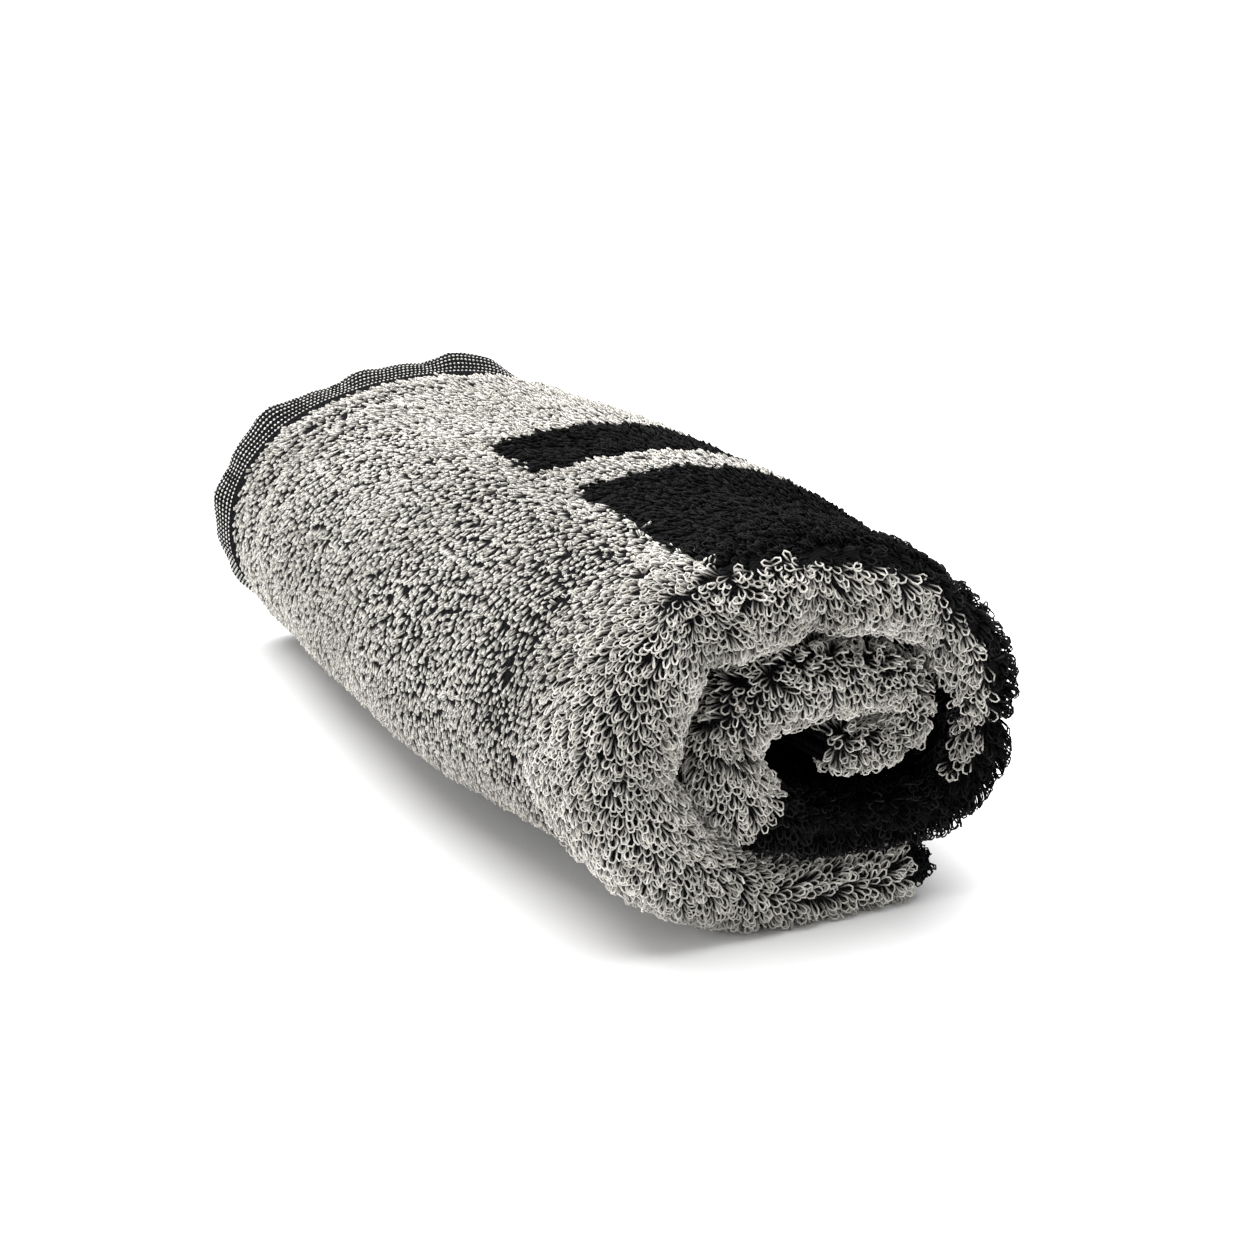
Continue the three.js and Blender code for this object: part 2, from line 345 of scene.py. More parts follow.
level = np.cos(CAMERA_RISE)
backward = Vector((np.cos(CAMERA_TURN) * level, -np.sin(CAMERA_TURN) * level, np.sin(CAMERA_RISE)))
rightward = Vector((np.sin(CAMERA_TURN), np.cos(CAMERA_TURN), 0.0))
upward = backward.cross(rightward)

camera_data = bpy.data.cameras.new("camera")
camera_data.lens, camera_data.sensor_width = CAMERA_LENS, SENSOR
camera = bpy.data.objects.new("camera", camera_data)
bpy.context.scene.collection.objects.link(camera)
stand = Vector(CAMERA_TARGET) + backward * CAMERA_DISTANCE
stand = stand + rightward * CAMERA_SLIDE[0] + upward * CAMERA_SLIDE[1]
axes = Matrix((rightward, upward, backward)).transposed()
camera.matrix_world = Matrix.Translation(stand) @ axes.to_4x4()
bpy.context.scene.camera = camera
print("camera at", [round(v, 3) for v in stand])

# %% [markdown]
# ## Shader maths in Python
# A material is a graph of nodes, and long sums are hard to read as a graph. This small class wraps
# one socket, so that `1 - mask * 0.3` adds the Math nodes by itself. Any other node comes from one
# method of the finish, which takes its type, its settings and what goes into its sockets.

# %% Expressions and finishes
class Signal:
    """A number on a socket that takes part in Python sums."""

    def __init__(self, finish, socket):
        self.finish, self.socket = finish, socket

    def maths(self, operation, *values):
        node = self.finish.node("ShaderNodeMath", {"operation": operation}, dict(enumerate(values)))
        return Signal(self.finish, node.outputs[0])

    def __add__(self, other):
        return self.maths("ADD", self, other)

    def __sub__(self, other):
        return self.maths("SUBTRACT", self, other)

    def __rsub__(self, other):
        return self.maths("SUBTRACT", other, self)

    def __mul__(self, other):
        return self.maths("MULTIPLY", self, other)

    __radd__ = __add__
    __rmul__ = __mul__

    def sine(self):
        return self.maths("SINE", self)


class Finish:
    """A material with one Principled shader."""

    def __init__(self, name, constants):
        self.material = bpy.data.materials.new(name)
        self.material.use_nodes = True
        self.tree = self.material.node_tree
        self.tree.nodes.clear()
        self.shader = self.node("ShaderNodeBsdfPrincipled", {}, constants)
        self.node("ShaderNodeOutputMaterial", {}, {"Surface": self.shader.outputs["BSDF"]})

    def node(self, kind, settings, sockets):
        node = self.tree.nodes.new(kind)
        for setting, value in settings.items():
            setattr(node, setting, value)
        for socket, value in sockets.items():
            self.feed(node.inputs[socket], value)
        return node

    def feed(self, target, value):
        if isinstance(value, Signal):
            value = value.socket
        if isinstance(value, bpy.types.NodeSocket):
            self.tree.links.new(value, target)
        else:
            target.default_value = value

    def number(self, attribute):
        node = self.node("ShaderNodeAttribute", {"attribute_name": attribute}, {})
        return Signal(self, node.outputs["Fac"])

    def blend(self, share, first, second):
        settings = {"data_type": "RGBA", "clamp_factor": True}
        return self.node("ShaderNodeMix", settings, {0: share, 6: first, 7: second}).outputs[2]

    def paint(self, **sockets):
        for socket, value in sockets.items():
            self.feed(self.shader.inputs[socket.replace("_", " ")], value)
        return self.material


print("expressions ready")

# %% [markdown]
# ## The cloth
# Under its pile a terry towel is a plain black weave. It could be a curved plane with Solidify, but
# a grid in the towel's own directions keeps the weave straight: columns run across the towel from
# hem to hem, and rows run along it, out along the outer ply, round the loose end and back along the
# inner ply. A second skin just below the first and a rim close it.

# %% The cloth's mesh
CLOTH_THICKNESS = 1.2
TOWEL_WIDTH, TOWEL_LENGTH = 500.0, 830.0
LOOSE_END_BULGE = 0.12
CLOTH_FLOOR = 1.3
INNER_PLY_FLOOR = 2.8
COLUMN_RUNS = ((0, FOLD_SHARE, 7), (FOLD_SHARE, 0.3, 12), (0.3, 0.78, 8), (0.78, 0.96, 12), (0.96, 1, 5))
ROW_RUNS = ((CORE_TURN, 17, 36), (17, 4, 78), (4, 0, 12))


def stepped(runs):
    """Places along a line, run after run. A run has its start, its end and its number of steps."""
    return np.concatenate([[runs[0][0]], *(np.linspace(a, b, steps + 1)[1:] for a, b, steps in runs)])


half_columns = stepped(COLUMN_RUNS)
columns = np.concatenate([-half_columns[:0:-1], half_columns])
round_end = np.radians([30, 60, 90, 120, 150])
outer_turns = stepped(ROW_RUNS)
inner_turns = np.linspace(0, CORE_TURN, 2 * CORE_TURN + 1)
row_turns = np.concatenate([outer_turns, -LOOSE_END_BULGE * np.sin(round_end), inner_turns])
row_plies = np.concatenate([
    np.zeros(len(outer_turns)), (1 - np.cos(round_end)) / 2, np.ones(len(inner_turns)),
])


def cloth_grid(turns, plies, across):
    turn, place = np.meshgrid(turns, across, indexing="ij")
    ply = np.meshgrid(plies, across, indexing="ij")[0]
    outer, inner = ply_place(turn, place, "outer"), ply_place(turn, place, "inner")
    points = lerp(outer, inner, ply[..., None])
    points[..., 2] = np.maximum(points[..., 2], lerp(CLOTH_FLOOR, INNER_PLY_FLOOR, ply))
    return points


middle = cloth_grid(row_turns, row_plies, columns)
facing = unit(np.cross(np.gradient(middle, axis=1), np.gradient(middle, axis=0)))
above, below = middle + facing * CLOTH_THICKNESS / 2, middle - facing * CLOTH_THICKNESS / 2


def closed_sheet_faces(rows, cols):
    """Quads of two grids, one above the other, and of the rim between them."""
    index = np.arange(rows * cols).reshape(rows, cols)
    under = index + rows * cols
    top = np.stack([index[:-1, :-1], index[:-1, 1:], index[1:, 1:], index[1:, :-1]], -1).reshape(-1, 4)
    bottom = np.stack([under[:-1, :-1], under[1:, :-1], under[1:, 1:], under[:-1, 1:]], -1).reshape(-1, 4)
    round_it = np.concatenate([index[0, :-1], index[:-1, -1], index[-1, :0:-1], index[:0:-1, 0]])
    after = np.roll(round_it, -1)
    rim = np.stack([round_it, round_it + rows * cols, after + rows * cols, after], -1)
    return np.concatenate([top, bottom, rim])


steps = np.linalg.norm(np.diff(middle, axis=0), axis=-1).mean(axis=1)
along_mm = np.concatenate([[0], np.cumsum(steps)])
weave_along = np.repeat(along_mm, len(columns))
weave_across = np.tile(columns * TOWEL_WIDTH / 2, len(row_turns))
cloth = make_piece(
    "towel_cloth",
    np.concatenate([above.reshape(-1, 3), below.reshape(-1, 3)]),
    closed_sheet_faces(len(row_turns), len(columns)),
    NO_TRIANGLES,
    {"weave_along": np.tile(weave_along, 2), "weave_across": np.tile(weave_across, 2)},
)
print("cloth runs", round(along_mm[-1]), "mm from core to core")

# %% [markdown]
# ## Finish of the ground weave
# The ground is black cotton with a small plain weave. Two sine waves in the cloth's own millimetres
# make the yarns rise and fall, and the same signal lifts the colour a little and drives the bump.

# %% Ground weave
WEAVE_PITCH = 1.0
WEAVE_BLACKS = (0.004, 0.004, 0.0045, 1), (0.012, 0.012, 0.013, 1)
WEAVE_BUMP = {"Strength": 0.5, "Distance": 0.0003}
weave = Finish("ground_weave", {"Specular IOR Level": 0.02})
along_yarn = (weave.number("weave_along") * (np.pi / WEAVE_PITCH)).sine()
across_yarn = (weave.number("weave_across") * (np.pi / WEAVE_PITCH)).sine()
crossing = along_yarn * across_yarn * 0.5 + 0.5
weave_bump = weave.node("ShaderNodeBump", {}, {**WEAVE_BUMP, "Height": crossing})
weave_black = weave.blend(crossing, *WEAVE_BLACKS)
cloth.data.materials.append(weave.paint(
    Base_Color=weave_black, Roughness=0.95 - crossing * 0.1, Normal=weave_bump.outputs["Normal"],
))
print("finish:", weave.material.name)

# %% [markdown]
# ## Directions on the cloth
# A dot or a loop has to know which way the cloth runs where it stands. Blender could tell from the
# mesh, but the winding is known at every place, so two short steps along it and across it give the
# directions, and their cross product points out of the cloth.

# %% Directions on the cloth
SIDE_STEP, LAST_OF_CLOTH = 0.004, 0.99


def length_along(turns, reach_mm, side, ply):
    """Length in millimetres from the first turn to each turn, on one line along the cloth."""
    points = ply_place(turns, side * across_at(turns, reach_mm), ply)
    return np.concatenate([[0], np.cumsum(np.linalg.norm(np.diff(points, axis=0), axis=1))])


def cloth_axes(turn, across, ply):
    """Place, direction along the winding, direction across and outward direction on a ply."""
    place = ply_place(turn, across, ply)
    along = unit(ply_place(turn + TURN_STEP, across, ply) - ply_place(turn - TURN_STEP, across, ply))
    step = np.where(np.abs(across) > LAST_OF_CLOTH, -SIDE_STEP, SIDE_STEP) * np.where(across < 0, -1, 1)
    aside = unit(ply_place(turn, across + step, ply) - place) * np.sign(step)[:, None]
    return place, along, aside, unit(np.cross(along, aside))


outward = cloth_axes(np.array([10.0]), np.array([0.5]), "outer")[3]
print("outward on top of the roll:", outward.round(2).tolist())

# %% [markdown]
# ## Dots of the woven hem
# Along the towel's long edges the pile stops, and the weft shows as rows of off-white dots on black.
# Painted dots would blur, so each dot is a small bead, sunk halfway into the
# hem, in staggered rows along the edge.

# %% Hem dots
DOT_PITCH = 1.15
DOT_ROWS = (0.7, 1.85, 3.0, 4.15, 5.3, 6.45)
DOT_SIZE = (0.45, 0.37, 0.26)
DOT_SPREAD = (0.85, 1.15)
HEM_SAMPLES = 900
TONES = 64
TONE_GRID = 8
TONE_MARGIN = 0.12
BEAD = np.array([(1, 0, -0.2), (0, 1, -0.2), (-1, 0, -0.2), (0, -1, -0.2), (0, 0, 1)])
BEAD_FACES = np.array([(0, 1, 4), (1, 2, 4), (2, 3, 4), (3, 0, 4), (2, 1, 0), (3, 2, 0)])
# A row is a ply, its side of the fold, the face of the cloth and how many rows of dots it has.
HEM_FACES = [
    ("outer", 1, 1, 6),
    ("outer", 1, -1, 2),
    ("outer", -1, 1, 3),
    ("inner", 1, 1, 2),
    ("inner", -1, 1, 2),
]
draw = np.random.default_rng(7)


def hem_dots(ply, side, face, rows):
    """Beads in rows along one hem, as dots x corners x 3."""
    fine = np.linspace(0, CORE_TURN, HEM_SAMPLES)
    dots = []
    for row, edge in enumerate(DOT_ROWS[:rows]):
        lengths = length_along(fine, reach_of_hem(fine, edge), side, ply)
        places = np.arange(DOT_PITCH * (0.5 + 0.5 * (row % 2)), lengths[-1], DOT_PITCH)
        turn = np.interp(places, lengths, fine)
        across = side * across_at(turn, reach_of_hem(turn, edge))
        place, along, aside, out = cloth_axes(turn, across, ply)
        place = place + face * out * CLOTH_THICKNESS / 2
        place[:, 2] = np.maximum(place[:, 2], CLOTH_FLOOR)
        size = np.array(DOT_SIZE) * draw.uniform(*DOT_SPREAD, (len(turn), 1))
        frame_of_dot = np.stack([along, aside, out], 1) * size[..., None]
        dots.append(place[:, None] + BEAD @ frame_of_dot)
    return np.concatenate(dots)


def cell_map(piece, tone, groups):
    """A lookup map named OFBake: everything of one tone shares one cell of a grid."""
    cell = np.stack([tone % TONE_GRID, tone // TONE_GRID], -1)[:, None]
    parts = [(cell + TONE_MARGIN + (1 - 2 * TONE_MARGIN) * group) / TONE_GRID for group in groups]
    uv = np.concatenate([part.reshape(-1, 2) for part in parts])
    piece.data.uv_layers.new(name="OFBake").data.foreach_set("uv", uv.astype(np.float32).ravel())


dot_points = np.concatenate([hem_dots(*face) for face in HEM_FACES])
dot_first = len(BEAD) * np.arange(len(dot_points))[:, None, None]
dot_tones = draw.integers(0, TONES, len(dot_points))
dots = make_piece(
    "hem_dots", dot_points.reshape(-1, 3), NO_QUADS,
    (dot_first + BEAD_FACES).reshape(-1, 3), {"yarn_tone": np.repeat(dot_tones / TONES, len(BEAD))},
)
facets = len(BEAD_FACES)
dot_cell = np.array([((k, 0), (k + 1, 0), (k + 0.5, facets)) for k in range(facets)])
dot_cell = dot_cell.reshape(-1, 2) / facets
cell_map(dots, dot_tones, [dot_cell])
print("dots:", len(dot_points))

# %% [markdown]
# ## Where the pile is black
# Most of the pile is light grey. Plain black bars run round the towel, a wide one near the fold and
# a narrow one beside it, with a black panel inside the roll and a black tip on the loose end. They
# could be painted, but loops of two colours meet in a ragged line, so each loop is one or the other. A
# row is a rectangle of the flat towel, in turns along it and millimetres from the fold across it. Its
# near edge may slant, by so many millimetres a turn, and `ragged` is how far its outline wavers.

# %% Black bars
BAR_COLUMNS = ("turn_from", "turn_to", "reach_from", "reach_to", "slant", "ragged")
BARS = [
    (10.0, 13.6, 14.5, 92.0, -4.0, 0.5),
    (13.2, 16.2, 1.0, 92.0, -3.0, 1.5),
    (10.0, 17.5, 112.0, 148.0, 0.0, 0.5),
    (13.6, 18.9, -60.0, -9.0, 0.0, 2.0),
    (15.4, 18.9, -60.0, 92.0, 0.0, 1.0),
    (-1.0, 2.05, -60.0, 60.0, 0.0, 0.5),
]


def is_black(turn, reach):
    """Whether each loop stands in a black bar."""
    black = np.zeros(len(turn), bool)
    for row in BARS:
        b = dict(zip(BAR_COLUMNS, row))
        shift = draw.uniform(-1, 1, len(turn)) * b["ragged"]
        place = turn + shift / MM_PER_TURN
        inside = (place > b["turn_from"]) & (place < b["turn_to"])
        start = b["reach_from"] + b["slant"] * (turn - b["turn_from"])
        black |= inside & (reach + shift > start) & (reach + shift < b["reach_to"])
    return black


print("bars:", len(BARS))

# %% [markdown]
# ## A loop of pile yarn
# Terry is made of yarn loops that stand out of the ground and lean over. Hair particles could stand
# in for them, but a loop has two legs and a round tip that show at this distance, so each one is a
# bent tube with three sides. Its bends are a short table: how far along the loop's height, and how far
# aside. Loops that show from close by have five bends, and the short ones of the body have three.

# %% Loop maker
LOOP_BENDS = {
    3: ((0, -0.5), (0.86, -0.75), (1, 0.5), (0, 0.5)),
    4: ((0, -0.4), (0.62, -1), (1, 0), (0.62, 1), (0, 0.4)),
    5: ((0, -0.35), (0.72, -0.95), (0.97, -0.48), (0.97, 0.48), (0.72, 0.95), (0, 0.35)),
}
LOOP_END_CELLS = ((0, 0), (0.3, 0), (0.15, 0.04), (0.5, 0), (0.8, 0), (0.65, 0.04))
YARN_SIDES = np.radians([90, 210, 330])
LOOP_FLOOR = 0.05


def column(values):
    return np.asarray(values)[:, None, None]


def loop_tubes(root, up, lean, shape, bends):
    """Points of every loop's tube, as loops x bends x sides x 3."""
    rise, aside = np.array(LOOP_BENDS[bends], float).T
    start, swing = shape["stand"][:, None], (shape["droop"] - shape["stand"])[:, None]
    angle = start + swing * rise
    high = (np.sin(angle) - np.sin(start)) / swing
    ahead = (np.cos(start) - np.cos(angle)) / swing
    up, lean = up[:, None], lean[:, None]
    spine = root[:, None] + column(shape["length"]) * (up * high[..., None] + lean * ahead[..., None])
    wide = np.cross(up, lean)
    flat = lean * np.cos(angle)[..., None] - up * np.sin(angle)[..., None]
    sine, cosine = np.sin(column(shape["twist"])), np.cos(column(shape["twist"]))
    centre = spine + (wide * cosine + flat * sine) * (aside[None, :, None] * column(shape["width"]) / 2)
    tangent = unit(np.gradient(centre, axis=1))
    normal = flat * cosine - wide * sine
    third = unit(np.cross(tangent, normal))
    normal = np.cross(third, tangent)
    ring = normal[:, :, None] * np.cos(YARN_SIDES)[:, None]
    ring = ring + third[:, :, None] * np.sin(YARN_SIDES)[:, None]
    points = centre[:, :, None] + ring * column(shape["yarn"])[..., None]
    points[..., 2] = np.maximum(points[..., 2], LOOP_FLOOR)
    return points


def loop_faces(count, bends):
    """Quads round each tube and triangles that close its two ends."""
    ring, sides = bends + 1, len(YARN_SIDES)
    index = np.arange(count * ring * sides).reshape(count, ring, sides)
    after = np.roll(index, -1, axis=2)
    quads = np.stack([index[:, :-1], after[:, :-1], after[:, 1:], index[:, 1:]], -1)
    ends = np.stack([index[:, 0, ::-1], index[:, -1]], 1)
    return quads.reshape(-1, 4), ends.reshape(-1, 3)


def loop_cell(bends):
    """Corners of one loop's faces in the unit square: its quads, then its two end triangles."""
    sides = len(YARN_SIDES)
    around = np.array([(j, j + 1, j + 1, j) for j in range(sides)]) / sides
    along = np.array([(k, k, k + 1, k + 1) for k in range(bends)]) / bends
    quads = np.stack(np.broadcast_arrays(around[None], along[:, None]), -1).reshape(-1, 2)
    return [quads, np.array(LOOP_END_CELLS)]


print("loop shapes:", sorted(LOOP_BENDS))

# %% [markdown]
# ## Where the loops stand
# Loops stand in rows along the cloth, a step apart and a little jittered. Each row of the table is
# one stretch of the roll: the crest of the fold and its flanks have open loops that hang down, the
# body has short narrow loops that lie over towards the loose end, and hidden stretches are coarser.
# A reach is in millimetres from the crest or has a name: `fold` is where open and narrow loops mix,
# `edge` is where the pile stops beside the hem, and `deep` is a little further from the hem. Real pile
# is never combed, so neighbours lean together in small tufts and part at the creases across the fold.

# %% Stretches of pile
STRETCH_COLUMNS = (
    "name", "side", "turn_from", "turn_to", "reach_from", "reach_to", "pitch", "bends", "length", "width",
    "yarn", "stand", "droop", "round_lean", "down_lean", "part_lean", "stray",
)
STRETCH_SAMPLES = 600
ROOT_SUNK = 0.15
ROOT_JITTER = 0.3
BLACK_KEPT = 0.75
HEM_MARKS = {"edge": 9.0, "deep": 22.0}
FOLD_END, FOLD_BLEND = 33.0, 3.5
STRETCHES = [
    ("flap_tip", 1, -0.05, 2.1, -14, 16, 1.5, 4, 2.3, 1.5, 0.25, 45, 100, 0.3, 0.3, 0.3, 0.2),
    ("flap_crest", 1, 2.1, 4.6, -14, 16, 1.8, 5, 4.0, 2.1, 0.24, 22, 86, 0.5, 0.25, 0.45, 0.22),
    ("fold_crest", 1, 4.6, 24, -13, 13, 1.63, 5, 4.0, 2.0, 0.25, 22, 90, 0.15, 1.0, 0.1, 0.36),
    ("core_crest", 1, 24, 28.98, -13, 13, 1.66, 5, 4.0, 2.0, 0.24, 22, 90, 0.15, 0.8, 0.1, 0.6),
    ("fold_outside", 1, 4.6, 16.5, 13, "fold", 1.66, 5, 3.6, 1.75, 0.24, 30, 92, 0.7, 0.5, 0.1, 0.36),
    ("fold_between", 1, 16.5, 28.6, 13, 24, 2.0, 4, 3.8, 1.7, 0.26, 20, 80, 0.2, 0.8, 0.1, 0.3),
    ("fold_inside", -1, 0.0, 28.6, 13, 26, 1.9, 4, 3.8, 1.7, 0.26, 20, 80, 0.2, 0.8, 0.1, 0.3),
    ("left_lower", 1, 4.3, 6.6, "fold", "edge", 1.38, 3, 2.2, 0.65, 0.26, 42, 106, 1.0, 0.3, 0.0, 0.55),
    ("left_middle", 1, 6.6, 7.4, "fold", "edge", 1.45, 3, 2.15, 0.65, 0.26, 42, 106, 1.0, 0.25, 0.0, 0.55),
    ("left_upper", 1, 7.4, 8.8, "fold", "edge", 1.53, 3, 2.1, 0.65, 0.26, 42, 106, 1.0, 0.2, 0.0, 0.55),
    ("shoulder", 1, 8.8, 9.8, "fold", "edge", 1.5, 3, 2.2, 0.66, 0.26, 42, 106, 1.0, 0.2, 0.0, 0.55),
    ("top_left", 1, 9.8, 11.0, "fold", "edge", 1.33, 3, 2.4, 0.7, 0.26, 42, 106, 1.0, 0.2, 0.0, 0.55),
    ("top_right", 1, 11.0, 13.2, "fold", "edge", 1.44, 3, 2.5, 0.75, 0.27, 42, 106, 1.0, 0.2, 0.0, 0.55),
    ("right_side", 1, 13.2, 17.4, "fold", "edge", 1.58, 3, 2.5, 0.75, 0.29, 42, 106, 0.8, 0.4, 0.0, 0.5),
    ("underside", 1, 0.0, 4.3, 16, "edge", 3.4, 3, 4.2, 1.8, 0.4, 40, 100, 1.0, 0.2, 0.0, 0.3),
    ("flap_top", -1, 0.0, 2.6, 26, "edge", 2.2, 3, 3.6, 1.3, 0.3, 35, 95, 1.0, 0.2, 0.0, 0.3),
    ("hem_inside", -1, 2.6, 29, "deep", "edge", 2.3, 3, 4.8, 1.6, 0.36, 12, 70, 1.0, 0.0, 0.0, 0.5),
    ("hem_between", 1, 17.4, 29, "deep", "edge", 2.3, 3, 4.8, 1.6, 0.36, 12, 70, 1.0, 0.0, 0.0, 0.5),
]


def reach_mark(mark, turn):
    """A place across the cloth in millimetres from the crest, given so or by its name."""
    if mark in HEM_MARKS:
        return reach_of_hem(turn, HEM_MARKS[mark])
    return np.full(len(turn), FOLD_END if mark == "fold" else float(mark))


def stretch_rows(s):
    """Turn and reach of every loop's root in one stretch."""
    fine = np.linspace(s["turn_from"], s["turn_to"], STRETCH_SAMPLES)
    start, end = reach_mark(s["reach_from"], fine), reach_mark(s["reach_to"], fine)
    lengths = length_along(fine, np.abs(start + end) / 2, s["side"], "skin")
    rows = np.interp(np.arange(0, lengths[-1], s["pitch"]), lengths, fine)
    turn_per_mm = np.gradient(fine, lengths)
    soft_start, soft_end = (FOLD_BLEND * (s[mark] == "fold") for mark in ("reach_from", "reach_to"))
    count = int(np.ceil(((end - start).max() + 2 * (soft_start + soft_end)) / s["pitch"]))
    step = (np.arange(count)[None] + 0.5 * (np.arange(len(rows)) % 2)[:, None]) * s["pitch"]
    jitter = draw.uniform(-ROOT_JITTER, ROOT_JITTER, (2, *step.shape)) * s["pitch"]
    turn = np.repeat(rows, count)
    turn = turn + jitter[1].ravel() * np.interp(turn, fine, turn_per_mm)
    reach = np.interp(turn, fine, start) - 2 * soft_start + (step + jitter[0]).ravel()
    blend = draw.normal(0, 1, len(turn))
    kept = reach > np.interp(turn, fine, start) - s["pitch"] / 2 + soft_start * blend
    kept &= reach < np.interp(turn, fine, end) + soft_end * blend
    return turn[kept], reach[kept]


print("stretches of pile:", len(STRETCHES))

# %% [markdown]
# ## Making the pile
# No two loops of a real towel are alike, so the length, width, lean and tone of each one are drawn at
# random. The tone also follows broad lighter and darker patches, as on cloth that was washed and
# handled. A particle system could scatter loops, but arrays keep every loop in its own stretch.

# %% Pile
TUFT_LEAN = 0.32
TUFT_COLUMNS = ("run", "reach", "warp", "warp_run", "warp_reach")
TUFTS_ALONG, TUFTS_ACROSS = (0.95, 0.35, 1.5, 0.31, 0.0), (-0.4, 0.8, 1.3, 0.2, 0.27)
PATCHES = ((0.055, 1.1, 0.0), (0.031, -1.9, 1.0), (0.13, 2.7, 2.0))
TONE_MIDDLE, TONE_OF_PATCHES, TONE_SPREAD = 0.5, 0.3, 0.25
LENGTH_SPREAD, YARN_SPREAD = (0.75, 1.25), (0.85, 1.1)
STAND_SPREAD, DROOP_SPREAD, TWIST_SPREAD = 7, 12, 0.45
END_TURNS = 0.6


def tuft_lean(turn, reach, row):
    """How far neighbouring loops lean together one way, from -1 to 1."""
    t, run = dict(zip(TUFT_COLUMNS, row)), turn * MM_PER_TURN
    warp = t["warp"] * np.sin(t["warp_run"] * run + t["warp_reach"] * reach)
    return np.sin(t["run"] * run + t["reach"] * reach + warp)[:, None]


def loop_tones(turn, reach):
    """The tone of each loop's yarn, as the number of its cell."""
    patches = ripples(PATCHES, reach, turn) / len(PATCHES)
    tone = TONE_MIDDLE + TONE_OF_PATCHES * patches + draw.normal(0, TONE_SPREAD, len(turn))
    return np.clip(tone * TONES, 0, TONES - 1).astype(int)


def stretch_loops(s):
    """Tubes, tones and black flags of the loops of one stretch."""
    turn, reach = stretch_rows(s)
    across = s["side"] * np.sign(reach) * across_at(turn, np.abs(reach))
    root, along, aside, _ = cloth_axes(turn, across, "outer")
    up = unit(ply_place(turn, across, "skin") - root)
    past_end = smoothstep(-turn, -END_TURNS, 0) - smoothstep(turn, CORE_TURN - END_TURNS, CORE_TURN)
    up = unit(up - along * past_end[:, None])
    down = np.array([0, 0, -1.0]) + up * up[:, 2:]
    parted = aside * np.sign(across)[:, None]
    lean = down * s["down_lean"] + parted * s["part_lean"] - along * s["round_lean"]
    tuft = along * tuft_lean(turn, reach, TUFTS_ALONG) + aside * tuft_lean(turn, reach, TUFTS_ACROSS)
    lean = lean + TUFT_LEAN * tuft
    lean = lean + along * parting(turn, reach)[:, None] + draw.normal(0, s["stray"], up.shape)
    lean = unit(lean - up * np.sum(lean * up, axis=1, keepdims=True))
    root = root + up * (CLOTH_THICKNESS / 2 - ROOT_SUNK)
    root[:, 2] = np.maximum(root[:, 2], CLOTH_FLOOR)
    n = len(turn)
    shape = {
        "length": s["length"] * draw.uniform(*LENGTH_SPREAD, n),
        "width": s["width"] * draw.uniform(*LENGTH_SPREAD, n),
        "stand": np.radians(s["stand"] + draw.normal(0, STAND_SPREAD, n)),
        "droop": np.radians(s["droop"] + draw.normal(0, DROOP_SPREAD, n)),
        "twist": draw.normal(0, TWIST_SPREAD, n),
        "yarn": s["yarn"] * draw.uniform(*YARN_SPREAD, n),
    }
    tone = loop_tones(turn, reach)
    black = is_black(turn, s["side"] * reach)
    kept = ~black | (draw.uniform(0, 1, n) < BLACK_KEPT)
    return loop_tubes(root, up, lean, shape, s["bends"])[kept], tone[kept], black[kept]


pile_pieces = {"grey": [], "black": []}
for row in STRETCHES:
    s = dict(zip(STRETCH_COLUMNS, row))
    tubes, tone, black = stretch_loops(s)
    rise = np.array(LOOP_BENDS[s["bends"]])[:, 0]
    for shade, chosen in (("grey", ~black), ("black", black)):
        if not chosen.any():
            continue
        count = int(chosen.sum())
        quads, ends = loop_faces(count, s["bends"])
        per_loop = (s["bends"] + 1) * len(YARN_SIDES)
        piece = make_piece(f"pile_{shade}_{s['name']}", tubes[chosen].reshape(-1, 3), quads, ends, {
            "yarn_tone": np.repeat(tone[chosen] / TONES, per_loop),
            "yarn_rise": np.tile(np.repeat(rise, len(YARN_SIDES)), count),
        })
        cell_map(piece, tone[chosen], loop_cell(s["bends"]))
        pile_pieces[shade].append(piece)

# %% [markdown]
# ## Finishes of the yarn
# Cotton yarn is matt with a soft sheen. Each loop has a tone of its own, because yarn is never dyed
# quite evenly, and its legs are painted darker than its tip: painted shade for the shadow that lies
# among the loops. A picture could paint all that, but the two numbers that each loop carries are enough.

# %% Yarn finishes
ROOT_SHADOW, SHADOW_FADE = 1.2, 1.4
GREY_YARN = (0.54, 0.52, 0.475), (0.89, 0.865, 0.81)
BLACK_YARN = (0.003, 0.003, 0.0032), (0.022, 0.022, 0.023)
WEFT_YARN = (0.7, 0.69, 0.66, 1), (0.88, 0.87, 0.84, 1)


def yarn_finish(name, dark, light, painted_root_shade, sheen):
    yarn = Finish(name, {"Specular IOR Level": 0.05, "Sheen Weight": sheen, "Sheen Roughness": 0.6})
    tone, rise = yarn.number("yarn_tone"), yarn.number("yarn_rise")
    colour = yarn.blend(tone, (*dark, 1), (*light, 1))
    # Painted shade: each loop's legs are darkened towards the root, for the shadow among the loops.
    shadow = tuple(painted_root_shade * c for c in dark)
    colour = yarn.blend(ROOT_SHADOW - rise * SHADOW_FADE, colour, (*shadow, 1))
    return yarn.paint(Base_Color=colour, Roughness=0.95 - tone * 0.1)


# Both yarns get painted shade at the root of every loop, as a share of their dark tone.
grey_yarn = yarn_finish("grey_yarn", *GREY_YARN, painted_root_shade=0.06, sheen=0.1)
black_yarn = yarn_finish("black_yarn", *BLACK_YARN, painted_root_shade=0.3, sheen=0.0)
for piece in pile_pieces["grey"]:
    piece.data.materials.append(grey_yarn)
for piece in pile_pieces["black"]:
    piece.data.materials.append(black_yarn)

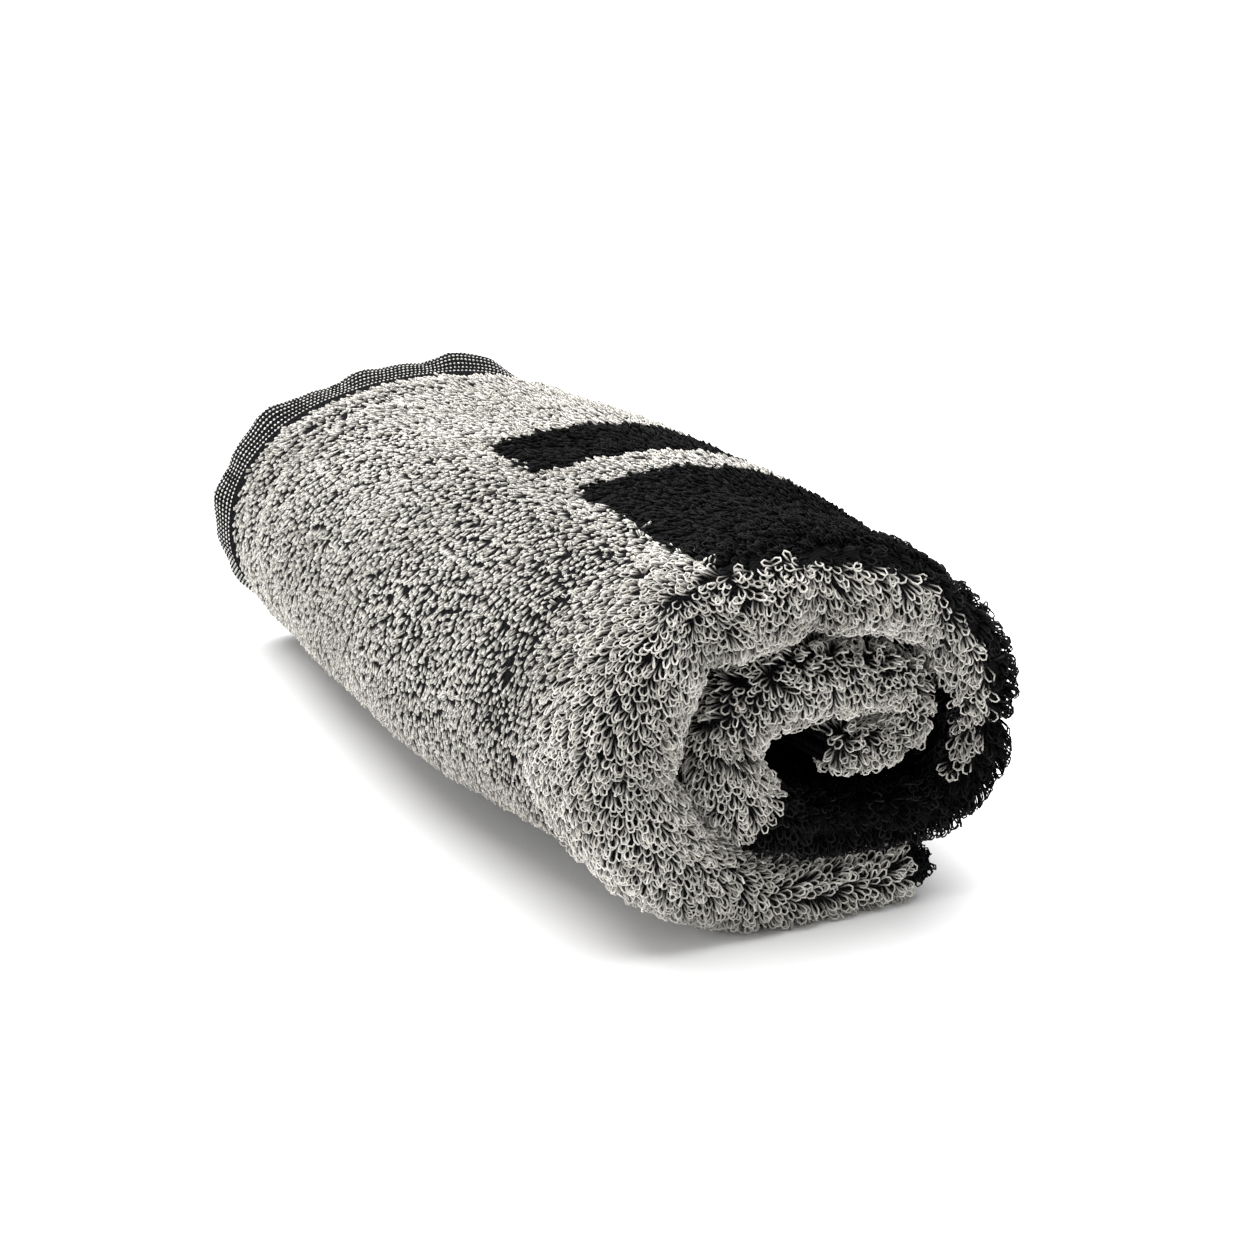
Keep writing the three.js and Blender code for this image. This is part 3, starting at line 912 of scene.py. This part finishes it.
weft = Finish("off_white_weft", {"Specular IOR Level": 0.25})
weft_tone = weft.number("yarn_tone")
weft_colour = weft.blend(weft_tone, *WEFT_YARN)
dots.data.materials.append(weft.paint(Base_Color=weft_colour, Roughness=0.9 - weft_tone * 0.1))
print("finishes:", [m.name for m in bpy.data.materials])

# %% [markdown]
# ## Floor and light
# The photograph is a studio picture on white. A wide pale floor and a bright surround keep the
# background light. One large soft lamp overhead makes the top of the roll the brightest, and a weak
# one on the left fills the side. An image of a studio could light it too, but lamps are easy to steer.

# %% Floor and light
FLOOR_SIZE = 6.0
FLOOR_PAPER = {"Base Color": (0.93, 0.93, 0.93, 1), "Roughness": 0.8, "Specular IOR Level": 0.2}
SURROUND_STRENGTH = 0.45
LAMP_AIM = (0, 0, 0.03)
LAMPS = [
    {"name": "overhead", "place": (-0.45, 0.15, 1.4), "size": 2.6, "power": 76},
    {"name": "left", "place": (-0.3, -1.5, 0.2), "size": 1.2, "power": 17},
]

floor_mesh = bpy.data.meshes.new("floor")
half = FLOOR_SIZE / 2
corners = [(-half, -half, 0), (half, -half, 0), (half, half, 0), (-half, half, 0)]
floor_mesh.from_pydata(corners, [], [(0, 1, 2, 3)])
floor = bpy.data.objects.new("floor", floor_mesh)
bpy.context.scene.collection.objects.link(floor)
floor_mesh.materials.append(Finish("floor_paper", FLOOR_PAPER).material)

world = bpy.data.worlds.new("studio")
world.use_nodes = True
surround = world.node_tree.nodes["Background"]
surround.inputs["Color"].default_value = (1, 1, 1, 1)
surround.inputs["Strength"].default_value = SURROUND_STRENGTH
bpy.context.scene.world = world


def soft_lamp(name, place, size, power):
    lamp_data = bpy.data.lights.new(name, "AREA")
    lamp_data.shape, lamp_data.size, lamp_data.energy = "DISK", size, power
    lamp = bpy.data.objects.new(name, lamp_data)
    lamp.location = place
    lamp.rotation_euler = (Vector(LAMP_AIM) - Vector(place)).to_track_quat("-Z", "Y").to_euler()
    bpy.context.scene.collection.objects.link(lamp)


for lamp in LAMPS:
    soft_lamp(**lamp)
bpy.context.scene.view_settings.view_transform = "Standard"
print("studio ready")

# %% [markdown]
# ## Fitting the pieces to the frame
# Every piece rides on the one body of this row, and the cloth takes the place of the plain solid,
# which is hidden.

# %% Ride and the hidden solid
grey_pile, black_pile = pile_pieces["grey"], pile_pieces["black"]
for piece in [cloth, dots, *grey_pile, *black_pile]:
    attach(piece, "root")
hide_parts("towel_roll")
print("pieces:", 2 + len(grey_pile) + len(black_pile))
